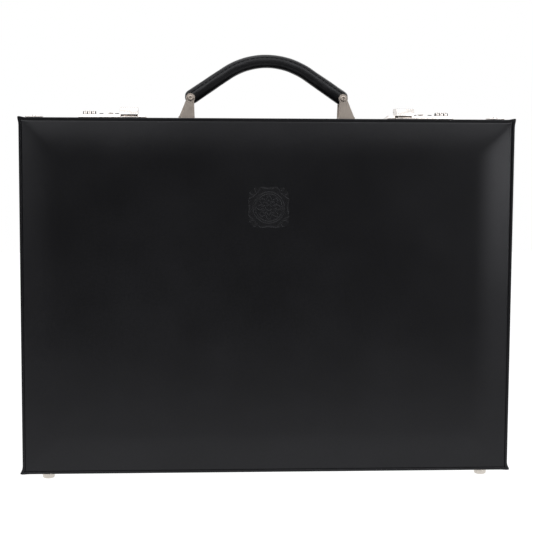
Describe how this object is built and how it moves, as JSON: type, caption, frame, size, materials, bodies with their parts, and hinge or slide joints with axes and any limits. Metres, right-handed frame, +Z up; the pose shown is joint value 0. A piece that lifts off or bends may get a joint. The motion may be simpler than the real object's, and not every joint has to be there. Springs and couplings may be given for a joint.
{
  "type": "leather briefcase",
  "caption": "Slim hard-sided black leather attache briefcase with a bottom-hinged lid on folding stays, fixed arched carry handle, combination latch locks and metal feet.",
  "frame": {"origin": "on the floor under the middle of the standing case, at the height of the foot soles", "axes": "+X to the right seen from the front, -Y out of the lid's face, +Z up towards the handle"},
  "size_m": [0.44, 0.075, 0.3829],
  "materials": {
    "case_leather": "smooth black box leather, semi-gloss, fine grain",
    "grip_leather": "smooth black leather, semi-gloss, stitched seam",
    "shell_board": "moulded fibre board, matt",
    "panel_foam": "thin felted foam pad",
    "lining_cloth": "charcoal suede-finish lining",
    "frame_aluminium": "satin anodised",
    "bright_nickel": "bright nickel plate",
    "satin_nickel": "satin nickel plate",
    "zinc_steel": "zinc plated steel"
  },
  "bodies": {
    "body": {"body_shell": "shell_board", "body_panel_pad": "panel_foam", "body_back_cover": "case_leather", "body_side_wrap": "case_leather", "body_binding": "case_leather", "body_lining": "lining_cloth", "body_mouth_frame": "frame_aluminium", "body_hinge_leaf": "bright_nickel", "hinge_pin": "zinc_steel", "body_foot_left": "bright_nickel", "body_foot_right": "bright_nickel", "handle_grip": "grip_leather", "handle_core": "zinc_steel", "handle_bracket_left": "satin_nickel", "handle_bracket_right": "satin_nickel", "handle_pin_left": "bright_nickel", "handle_pin_right": "bright_nickel", "lock_housing_left": "bright_nickel", "lock_housing_right": "bright_nickel", "dial_axle_left": "zinc_steel", "dial_axle_right": "zinc_steel", "hasp_pin_left": "zinc_steel", "hasp_pin_right": "zinc_steel", "corner_plate_left": "bright_nickel", "corner_plate_right": "bright_nickel", "body_stay_pivot_left": "zinc_steel", "body_stay_pivot_right": "zinc_steel"},
    "lid": {"lid_shell": "shell_board", "lid_panel_pad": "panel_foam", "lid_front_cover": "case_leather", "lid_side_wrap": "case_leather", "lid_binding": "case_leather", "lid_lining": "lining_cloth", "lid_mouth_frame": "frame_aluminium", "lid_hinge_leaf": "bright_nickel", "lid_file_pocket": "lining_cloth", "lid_foot_left": "bright_nickel", "lid_foot_right": "bright_nickel", "catch_plate_left": "bright_nickel", "catch_plate_right": "bright_nickel", "lid_stay_pivot_left": "zinc_steel", "lid_stay_pivot_right": "zinc_steel"},
    "hasp_left": {"hasp_left": "bright_nickel"},
    "slide_button_left": {"slide_button_left": "bright_nickel"},
    "dial_left_1": {"dial_left_1": "bright_nickel"},
    "dial_left_2": {"dial_left_2": "bright_nickel"},
    "dial_left_3": {"dial_left_3": "bright_nickel"},
    "stay_lower_left": {"stay_lower_left": "zinc_steel", "stay_rivet_left": "zinc_steel"},
    "stay_upper_left": {"stay_upper_left": "zinc_steel"},
    "hasp_right": {"hasp_right": "bright_nickel"},
    "slide_button_right": {"slide_button_right": "bright_nickel"},
    "dial_right_1": {"dial_right_1": "bright_nickel"},
    "dial_right_2": {"dial_right_2": "bright_nickel"},
    "dial_right_3": {"dial_right_3": "bright_nickel"},
    "stay_lower_right": {"stay_lower_right": "zinc_steel", "stay_rivet_right": "zinc_steel"},
    "stay_upper_right": {"stay_upper_right": "zinc_steel"}
  },
  "joints": [
    {"name": "lid_hinge", "type": "hinge", "parent": "body", "child": "lid", "pos_m": [0, -0.0075, 0.005], "axis": [1, 0, 0], "range_deg": [0, 95]},
    {"name": "hasp_left_flip", "type": "hinge", "parent": "body", "child": "hasp_left", "pos_m": [-0.1242, 0.0055, 0.3314], "axis": [-1, 0, 0], "range_deg": [0, 100]},
    {"name": "slide_button_left_push", "type": "slide", "parent": "body", "child": "slide_button_left", "axis": [-1, 0, 0], "range_m": [0, 0.0035], "stiffness_N_per_m": 200, "springref_m": -0.001},
    {"name": "dial_left_1_turn", "type": "hinge", "parent": "body", "child": "dial_left_1", "pos_m": [-0.1565, 0.004, 0.3266], "axis": [1, 0, 0], "continuous": true},
    {"name": "dial_left_2_turn", "type": "hinge", "parent": "body", "child": "dial_left_2", "pos_m": [-0.1601, 0.004, 0.3266], "axis": [1, 0, 0], "continuous": true},
    {"name": "dial_left_3_turn", "type": "hinge", "parent": "body", "child": "dial_left_3", "pos_m": [-0.1637, 0.004, 0.3266], "axis": [1, 0, 0], "continuous": true},
    {"name": "stay_lower_left_swing", "type": "hinge", "parent": "body", "child": "stay_lower_left", "pos_m": [-0.2087, 0.0065, 0.08884], "axis": [1, 0, 0], "range_deg": [0, 95]},
    {"name": "stay_upper_left_swing", "type": "hinge", "parent": "lid", "child": "stay_upper_left", "pos_m": [-0.2067, -0.0215, 0.08884], "axis": [1, 0, 0], "range_deg": [-95, 0]},
    {"name": "hasp_right_flip", "type": "hinge", "parent": "body", "child": "hasp_right", "pos_m": [0.1242, 0.0055, 0.3314], "axis": [-1, 0, 0], "range_deg": [0, 100]},
    {"name": "slide_button_right_push", "type": "slide", "parent": "body", "child": "slide_button_right", "axis": [1, 0, 0], "range_m": [0, 0.0035], "stiffness_N_per_m": 200, "springref_m": -0.001},
    {"name": "dial_right_1_turn", "type": "hinge", "parent": "body", "child": "dial_right_1", "pos_m": [0.1565, 0.004, 0.3266], "axis": [1, 0, 0], "continuous": true},
    {"name": "dial_right_2_turn", "type": "hinge", "parent": "body", "child": "dial_right_2", "pos_m": [0.1601, 0.004, 0.3266], "axis": [1, 0, 0], "continuous": true},
    {"name": "dial_right_3_turn", "type": "hinge", "parent": "body", "child": "dial_right_3", "pos_m": [0.1637, 0.004, 0.3266], "axis": [1, 0, 0], "continuous": true},
    {"name": "stay_lower_right_swing", "type": "hinge", "parent": "body", "child": "stay_lower_right", "pos_m": [0.2087, 0.0065, 0.08884], "axis": [1, 0, 0], "range_deg": [0, 95]},
    {"name": "stay_upper_right_swing", "type": "hinge", "parent": "lid", "child": "stay_upper_right", "pos_m": [0.2067, -0.0215, 0.08884], "axis": [1, 0, 0], "range_deg": [-95, 0]}
  ],
  "couplings": [
    {"joint": "stay_lower_left_swing", "follows": "lid_hinge", "ratio": 1},
    {"joint": "stay_upper_left_swing", "follows": "lid_hinge", "ratio": -1},
    {"joint": "stay_lower_right_swing", "follows": "lid_hinge", "ratio": 1},
    {"joint": "stay_upper_right_swing", "follows": "lid_hinge", "ratio": -1}
  ]
}
